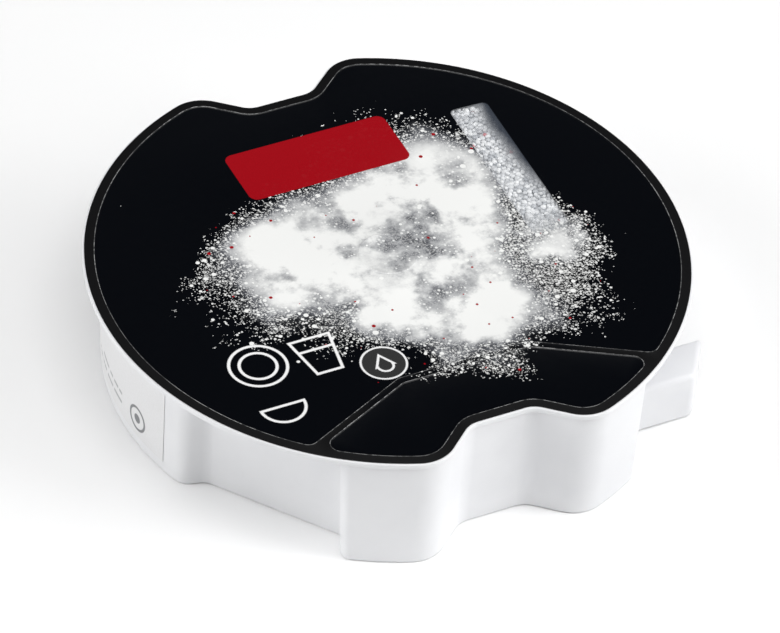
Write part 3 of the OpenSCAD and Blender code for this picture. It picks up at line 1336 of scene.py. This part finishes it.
@dataclass
class Tray:
    """The moulded tray: walls, flange, partition, hub post and lug, in millimetres.

    Shapes that cut reach past the tray by over, and faces that would coincide are a hair apart.
    """

    plan: DiscPlan
    disc_h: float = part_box("lid_film")[1].z / MM
    film_t: float = 0.3
    land_h: float = 0.15
    wall_t: float = 1.2
    floor_t: float = 1.2
    draft: float = 0.5
    lobe_draft: float = 3.0
    foot_r: float = 0.8
    inner_foot_r: float = 1.0
    lip_t: float = 1.6
    lip_edge: float = 0.5
    lip_r: float = 0.35
    ledge_w: float = 0.6
    lug_w: float = 12.8
    lug_h: float = 15.2
    lug_reach: float = 4.6
    lug_y: float = 47.4
    lug_r: float = 1.5
    lug_root: float = 3.0
    lug_least_r: float = 0.4
    lug_sharp: float = 30.0
    hub_r: float = 7.5
    socket_r: float = 5.8
    hub_cap_t: float = 1.5
    over: float = 1.0
    hair: float = 0.03
    round_steps: int = 96
    edge_steps: int = 3
    lug_steps: int = 6
    lug_edge_steps: int = 5
    sharp: float = 32.0
    finish: MouldedPlastic = field(default_factory=MouldedPlastic)

    @property
    def land_z(self) -> float:
        """Height of the sealed land."""
        return self.disc_h - self.film_t

    @property
    def deck_z(self) -> float:
        """Height of the flange inside the land."""
        return self.land_z - self.land_h

    @property
    def lip_z(self) -> float:
        """Height of the flange's underside."""
        return self.land_z - self.lip_t

    def drafted(self, z: float) -> float:
        """Gives how far the draft has moved a wall in at a height."""
        return max(0.0, self.lip_z - z) * math.tan(math.radians(self.draft))

    def lobe_drafted(self, z: float) -> float:
        """Gives how much further the lobe's side faces have moved in at a height."""
        slope = math.tan(math.radians(self.lobe_draft)) - math.tan(math.radians(self.draft))
        return max(0.0, self.lip_z - z) * slope

    def walls(self) -> bpy.types.Object:
        """Builds the outer form of the walls.

        Returns:
            The closed form, which becomes the tray.
        """
        levels = []
        for inset, z in rounded_foot(self.foot_r):
            d = inset + self.drafted(z)
            levels.append((self.plan.wall(d, d, self.lobe_drafted(z)), z))
        levels.append((self.plan.wall(0, 0), self.lip_z + self.lip_t / 2))
        return to_object(stacked(levels), "tray_shell")

    def flange(self) -> bpy.types.Object:
        """Builds the flange with its rounded lip.

        Returns:
            The closed form.
        """
        low = [(self.plan.film(inset - self.lip_edge), self.lip_z + z)
               for inset, z in rounded_foot(self.lip_r, self.edge_steps)]
        high = [(self.plan.film(inset - self.lip_edge), self.land_z - z)
                for inset, z in reversed(rounded_foot(self.lip_r, self.edge_steps))]
        return to_object(stacked(low + high), "flange")

    def chambers(self) -> bpy.types.Object:
        """Builds the space inside the walls, with a mouth that narrows under the land.

        Returns:
            The space, with the partition and the hub post left out of it.
        """
        t = self.wall_t
        mouth = self.plan.land_w + self.ledge_w - self.plan.flush_inset
        under = self.lip_z - (mouth - t)
        levels = []
        for inset, z in rounded_foot(self.inner_foot_r, self.edge_steps):
            e = t + inset + self.drafted(self.floor_t + z)
            side = self.lobe_drafted(self.floor_t + z)
            levels.append((self.plan.wall(e, e, side), self.floor_t + z))
        e = t + self.drafted(under)
        levels += [(self.plan.wall(e, e, self.lobe_drafted(under)), under),
                   (self.plan.wall(t, mouth), self.lip_z),
                   (self.plan.wall(t, mouth), self.disc_h + self.over)]
        space = to_object(stacked(levels), "chambers")
        reach = self.plan.film_r
        rib = to_object(stacked([(self.plan.rib_band(reach), 0.0),
                                 (self.plan.rib_band(reach), self.land_z)]), "rib")
        worked(space, rib, Cut.REMOVE)
        return worked(space, self.post(self.hub_r, 0.0, self.land_z), Cut.REMOVE)

    def post(self, radius: float, low: float, high: float) -> bpy.types.Object:
        """Builds an upright round bar on the axis.

        Args:
            radius: Its radius.
            low: Height of its foot.
            high: Height of its top.

        Returns:
            The bar.
        """
        mesh = bmesh.new()
        bmesh.ops.create_cone(mesh, cap_ends=True, segments=self.round_steps,
                              radius1=radius * MM, radius2=radius * MM,
                              depth=(high - low) * MM,
                              matrix=Matrix.Translation((0, 0, (low + high) / 2 * MM)))
        return to_object(mesh, "post")

    def lug(self, d: float) -> bpy.types.Object:
        """Builds the lug, with all its edges rounded.

        Args:
            d: How much smaller it is on every side.

        Returns:
            The lug, or the pocket in it.
        """
        inner = (self.plan.film_r - self.plan.recess_depth) * math.cos(
            math.radians(self.plan.recess_angle)) - self.lug_root
        radius = self.plan.film_r + self.lug_reach - d
        near, far = -self.lug_y - self.lug_w / 2 + d, -self.lug_y + self.lug_w / 2 - d
        ends = [math.degrees(math.asin(y / radius)) for y in (near, far)]
        steps = self.lug_steps
        turns = [ends[0] + (ends[1] - ends[0]) * i / steps for i in range(steps + 1)]
        plan = [Vector((inner, near)), *[heading(a) * radius for a in turns],
                Vector((inner, far))]
        mesh = stacked([(plan, d + self.hair), (plan, self.lug_h - d)])
        rims = [e for e in mesh.edges
                if e.calc_face_angle(0) > math.radians(self.lug_sharp)]
        bmesh.ops.bevel(mesh, geom=rims, offset=max(self.lug_r - d, self.lug_least_r) * MM,
                        segments=self.lug_edge_steps, affect="EDGES", profile=0.5, material=-1)
        return to_object(mesh, "lug")

    def panels(self) -> list[bpy.types.Object]:
        """Builds the shallow spaces under the unsealed film.

        Returns:
            The spaces over the main and the front chamber.
        """
        made = []
        for name, draw in (("main", self.plan.main_panel), ("front", self.plan.front_panel)):
            plan = draw(-self.hair)
            space = to_object(stacked([(plan, self.deck_z), (plan, self.disc_h)]), name)
            if draw == self.plan.main_panel:
                post = self.post(self.hub_r - self.hair, 0.0, self.disc_h + self.over)
                worked(space, post, Cut.REMOVE)
            made.append(space)
        return made

    def build(self) -> bpy.types.Object:
        """Builds and dresses the tray.

        Returns:
            The piece.
        """
        shell = worked(self.walls(), self.flange(), Cut.JOIN)
        worked(shell, self.lug(0.0), Cut.JOIN)
        worked(shell, self.chambers(), Cut.REMOVE)
        worked(shell, self.lug(self.wall_t), Cut.REMOVE)
        for space in self.panels():
            worked(shell, space, Cut.REMOVE)
        socket_top = self.land_z - self.hub_cap_t
        worked(shell, self.post(self.socket_r, -self.over, socket_top), Cut.REMOVE)
        shade(cleaned(shell), self.sharp)
        return dress(shell, self.finish.material(), Slot.PLASTIC, "tray")


@dataclass
class Film:
    """The heat-sealed film, pressed down between its sealed lands.

    Each row of the section has shares of ridge_w, ridge and sink, and how sharp the crease is.
    The rim has pairs of inset and drop.
    """

    plan: DiscPlan
    disc_h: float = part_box("lid_film")[1].z / MM
    thickness: float = 0.22
    sink: float = 0.15
    ridge: float = 0.07
    ridge_w: float = 0.7
    section: tuple[tuple[float, ...], ...] = (
        (0.0, 1.0, 0.0, 0.0), (0.16, 0.45, 0.0, 0.55), (0.32, 0.0, 0.0, 1.0),
        (0.48, 0.7, 0.0, 0.7), (0.72, 1.0, 0.6, 0.15), (1.0, 1.0, 1.0, 0.0),
    )
    hub_r: float = 7.5
    hub_steps: int = 96
    rim: tuple[Pair, ...] = ((0.0, 0.08), (0.03, 0.02), (0.10, 0.0))
    sharp: float = 50.0
    finish: PrintedFilm = field(default_factory=PrintedFilm)

    def profile(self) -> list[tuple[float, float, float]]:
        """Gives the section of a seal's inner border.

        Returns:
            Rows of distance from the land, depth under disc_h, and how sharp the crease is.
        """
        return [(self.ridge_w * out, self.ridge * high + self.sink * low, crease)
                for out, high, low, crease in self.section]

    def border(self, mesh: bmesh.types.BMesh, draw: Callable[[float], Plan],
               inwards: float = 1.0) -> tuple[list, list]:
        """Adds a pressed border and gives its first and last ring.

        Args:
            mesh: The film's mesh.
            draw: Gives the border's outline at a distance from the land.
            inwards: 1 where the film sinks inside the border, -1 where it sinks outside.

        Returns:
            The ring on the land and the ring on the sunk film.
        """
        crease = mesh.verts.layers.float["crease"]
        rings = []
        for distance, depth, mark in self.profile():
            ring = flat_ring(mesh, draw(distance * inwards), self.disc_h - depth)
            for edge in ring:
                for vert in edge.verts:
                    vert[crease] = mark
            rings.append(ring)
        bridged(mesh, rings)
        return rings[0], rings[-1]

    def build(self) -> bpy.types.Object:
        """Builds and dresses the film.

        Returns:
            The piece.
        """
        mesh = bmesh.new()
        mesh.verts.layers.float.new("crease")
        land = mesh.verts.layers.float.new("land")
        top = self.disc_h - self.ridge
        rim = [flat_ring(mesh, self.plan.film(inset), top - drop) for inset, drop in self.rim]
        bridged(mesh, rim)
        main_out, main_in = self.border(mesh, self.plan.main_panel)
        front_out, front_in = self.border(mesh, self.plan.front_panel)
        circle = [heading(360 * i / self.hub_steps) for i in range(self.hub_steps)]
        hub_out, hub_in = self.border(
            mesh, lambda d: [p * (self.hub_r - d) for p in circle], -1.0)
        sealed = rim[-1] + main_out + front_out
        for edge in sealed + rim[0] + rim[1]:
            for vert in edge.verts:
                vert[land] = 1.0
        for edges in (sealed, main_in + hub_in, front_in, hub_out):
            bmesh.ops.triangle_fill(mesh, use_beauty=True, edges=edges)
        bmesh.ops.recalc_face_normals(mesh, faces=mesh.faces)
        if sum(f.normal.z * f.calc_area() for f in mesh.faces) < 0:
            bmesh.ops.reverse_faces(mesh, faces=mesh.faces)
        bmesh.ops.solidify(mesh, geom=list(mesh.faces), thickness=self.thickness * MM)
        thing = to_object(mesh, "film", self.sharp)
        return dress(thing, self.finish.material(), Slot.FILM, "lid_film")


@dataclass
class Label:
    """The side label on the recessed wall."""

    plan: DiscPlan
    tray: Tray
    thickness: float = 0.15
    gap: float = 0.04
    height: float = 29.0
    drop: float = 1.6
    start: float = 75.2
    span: float = 54.0
    steps: int = 60
    finish: LabelPaper = field(default_factory=LabelPaper)

    def build(self) -> bpy.types.Object:
        """Builds and dresses the label.

        Returns:
            The piece.
        """
        high = self.tray.lip_z - self.drop
        low = high - self.height
        wall = self.plan.film_r - self.plan.overhang + self.gap
        near = heading(FRONT - self.start)
        corners = [(wall - self.tray.drafted(z) + t, z)
                   for z, t in ((low, 0.0), (low, self.thickness),
                                (high, self.thickness), (high, 0.0))]
        mesh = bmesh.new()
        verts = [mesh.verts.new((near.x * r * MM, near.y * r * MM, z * MM))
                 for r, z in corners]
        face = mesh.faces.new(verts)
        bmesh.ops.spin(mesh, geom=[face, *face.edges, *face.verts], cent=(0, 0, 0),
                       axis=(0, 0, 1), angle=-math.radians(self.span), steps=self.steps)
        bmesh.ops.recalc_face_normals(mesh, faces=mesh.faces)
        thing = to_object(mesh, "label")
        return dress(thing, self.finish.material(), Slot.LABEL, "side_label")


@dataclass
class Granulate:
    """The granulate in both chambers, with loose beads under the window, in millimetres.

    The layers are heights over the bed, and squash has a range for each axis of a bead.
    """

    film: Film
    margin: float = 1.5
    pitch: float = 1.5
    row_share: float = 0.87
    jitter: float = 0.35
    layers: Pair = (-0.6, 0.35)
    layer_jitter: float = 0.25
    radii: tuple[float, ...] = (0.55, 0.62, 0.70, 0.78, 0.86)
    clearance: float = 0.02
    squash: tuple[Pair, Pair, Pair] = ((0.85, 1.15), (0.85, 1.15), (0.85, 1.0))
    tint_power: int = 2
    red_share: float = 0.012
    ball_detail: int = 2
    sharp: float = 180.0
    seed: int = 11
    finish: GranulateBeads = field(default_factory=GranulateBeads)

    def places(self) -> list[Triple]:
        """Lists the beads' places before they are jittered.

        Returns:
            Rows of place across the window, place along it, and height over the bed.
        """
        half_x, half_y = (h + self.margin for h in self.film.finish.window_half)
        step = self.pitch * self.row_share
        return [
            (-half_x + (column + 0.5 * ((row + layer) % 2)) * self.pitch,
             -half_y + row * self.pitch * self.row_share, lift)
            for layer, lift in enumerate(self.layers)
            for row in range(int(2 * half_y / step) + 1)
            for column in range(int(2 * half_x / self.pitch) + 1)
        ]

    def beads(self) -> bpy.types.Object:
        """Builds the loose beads that show through the film's window.

        Returns:
            The piece.
        """
        draw = random.Random(self.seed)
        window = self.film.finish
        ball = bmesh.new()
        bmesh.ops.create_icosphere(ball, subdivisions=self.ball_detail, radius=MM)
        mesh = bmesh.new()
        tint = mesh.verts.layers.float.new("tint")
        red = mesh.verts.layers.float.new("red")
        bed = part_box("granulate_main")[1].z / MM
        ceiling = self.film.disc_h - self.film.ridge - self.film.sink - self.film.thickness
        turn = Matrix.Rotation(math.radians(window.window_turn), 2)
        centre = Vector(window.window_at)
        for across, along, lift in self.places():
            across += draw.uniform(-self.jitter, self.jitter)
            along += draw.uniform(-self.jitter, self.jitter)
            radius = draw.choice(self.radii)
            z = bed + lift + draw.uniform(-self.layer_jitter, self.layer_jitter)
            z = min(z, ceiling - radius - self.clearance)
            at = centre + turn @ Vector((across, along))
            squash = Matrix.Diagonal((*(draw.uniform(*span) for span in self.squash), 1.0))
            matrix = Matrix.Translation((at.x * MM, at.y * MM, z * MM)) @ squash
            shade_of = draw.random() ** self.tint_power
            is_red = 1.0 if draw.random() < self.red_share else 0.0
            made = [mesh.verts.new(matrix @ (v.co * radius)) for v in ball.verts]
            for vert in made:
                vert[tint] = shade_of
                vert[red] = is_red
            for face in ball.faces:
                mesh.faces.new([made[v.index] for v in face.verts])
        ball.free()
        thing = to_object(mesh, "window_beads", self.sharp)
        return dress(thing, self.finish.loose(), Slot.GRANULATE)

    def build(self) -> None:
        """Builds the beads and dresses the granulate's nodes."""
        self.beads()
        heap = self.finish.heap()
        for node in ("granulate_main", "granulate_front"):
            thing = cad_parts[node]
            thing.data.materials.clear()
            thing.data.materials.append(heap)
            log.info("%s: dressed", node)


@dataclass(frozen=True)
class Softbox:
    """A square softbox that faces the disc.

    Its azimuth is in degrees from +X and its elevation in degrees over the horizon. Distance and
    side are in metres, and its power is in watts.
    """

    name: str
    azimuth: float
    elevation: float
    distance: float
    side: float
    power: float

    def hang(self) -> None:
        """Adds the light to the scene."""
        data = bpy.data.lights.new(self.name, "AREA")
        data.shape = "SQUARE"
        data.size = self.side
        data.energy = self.power
        lamp = bpy.data.objects.new(self.name, data)
        flat = math.cos(math.radians(self.elevation))
        way = Vector((*(heading(self.azimuth) * flat), math.sin(math.radians(self.elevation))))
        lamp.matrix_world = way.to_track_quat("Z", "Y").to_matrix().to_4x4()
        lamp.matrix_world.translation = way * self.distance
        bpy.context.scene.collection.objects.link(lamp)


@dataclass
class Studio:
    """Floor, lights, surroundings and camera.

    The camera's distance and aim are in disc radii. Angles are in degrees.
    """

    disc_r: float = 80.0
    film_z: float = 36.0
    picture_w: float = 780.0
    focal_px: float = 6000.0
    sensor_mm: float = 36.0
    elevation: float = 42.19
    azimuth: float = -28.6
    roll: float = 4.25
    distance: float = 19.734
    aim_right: float = 0.021
    aim_up: float = -0.208
    clip: Pair = (0.05, 20.0)
    floor_half: float = 3.0
    floor_cells: int = 8
    flag_edge: Pair = (0.40, 0.86)
    flag_dark: float = 0.985
    behind_edge: Pair = (0.35, 0.95)
    behind_rise: float = 0.12
    behind_dark: float = 0.85
    overhead_edge: Pair = (0.45, 0.95)
    side_glow: float = 0.84
    top_glow: float = 0.0
    lamps: tuple[Softbox, ...] = (
        Softbox("key_right", 326.0, 24.0, 1.4, 0.8, 8.0),
        Softbox("high_right", 335.0, 55.0, 1.4, 0.8, 4.4),
        Softbox("fill_left", 166.0, 27.0, 1.4, 0.8, 7.0),
        Softbox("top", 250.0, 78.0, 1.5, 1.0, 11.6),
    )

    def camera(self) -> Vector:
        """Places the camera where the picture was taken.

        Returns:
            The direction that it looks in.
        """
        el, az = math.radians(self.elevation), math.radians(self.azimuth)
        turn = Matrix.Rotation(az, 3, "Z")
        look = turn @ Vector((0, math.cos(el), -math.sin(el)))
        right = turn @ Vector((1, 0, 0))
        up = turn @ Vector((0, math.sin(el), math.cos(el)))
        unit = self.disc_r * MM
        place = (right * self.aim_right + up * self.aim_up - look * self.distance) * unit
        place.z += self.film_z * MM
        c, s = math.cos(math.radians(self.roll)), math.sin(math.radians(self.roll))
        side, top = right * c + up * s, up * c - right * s
        data = bpy.data.cameras.new("camera")
        data.sensor_width = self.sensor_mm
        data.lens = self.focal_px / self.picture_w * self.sensor_mm
        data.clip_start, data.clip_end = self.clip
        eye = bpy.data.objects.new("camera", data)
        eye.matrix_world = Matrix((side, top, -look)).transposed().to_4x4()
        eye.matrix_world.translation = place
        bpy.context.scene.collection.objects.link(eye)
        bpy.context.scene.camera = eye
        return look

    def floor(self) -> None:
        """Lays the pale floor."""
        mesh = bmesh.new()
        bmesh.ops.create_grid(mesh, x_segments=self.floor_cells, y_segments=self.floor_cells,
                              size=self.floor_half)
        thing = to_object(mesh, "studio_floor")
        thing.data.materials.append(StudioFloor().material())

    def surroundings(self, look: Vector) -> None:
        """Lights the room softly, with dark flags behind the camera and where the film mirrors it.

        Args:
            look: The direction that the camera looks in.
        """
        world = bpy.data.worlds.new("studio")
        g = Graph(world)
        way = g.out("ShaderNodeTexCoord", "Generated")
        mirror_flag = g.along(way, Vector((look.x, look.y, -look.z))).rising(*self.flag_edge)
        back = Vector((-look.x, -look.y, self.behind_rise))
        behind = g.along(way, back).rising(*self.behind_edge)
        overhead = g.along(way, Vector((0, 0, 1))).rising(*self.overhead_edge)
        glow = self.side_glow + overhead * (self.top_glow - self.side_glow)
        strength = (glow * (1.0 - behind * self.behind_dark)
                    * (1.0 - mirror_flag * self.flag_dark))
        light = g.out("ShaderNodeBackground", 0, None, {"Strength": strength})
        g.node("ShaderNodeOutputWorld", inputs={"Surface": light})
        bpy.context.scene.world = world

    def build(self) -> None:
        """Sets up the whole studio."""
        look = self.camera()
        self.floor()
        self.surroundings(look)
        for lamp in self.lamps:
            lamp.hang()
        bpy.context.scene.view_settings.view_transform = "Standard"
        bpy.context.scene.view_settings.look = "None"


def main() -> None:
    """Builds the cartridge and its studio."""
    logging.basicConfig(level=logging.INFO, format="%(name)s %(message)s")
    Studio().build()
    plan = DiscPlan()
    tray = Tray(plan)
    tray.build()
    film = Film(plan)
    film.build()
    Label(plan, tray).build()
    Granulate(film).build()
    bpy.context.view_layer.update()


if __name__ == "__main__":
    main()
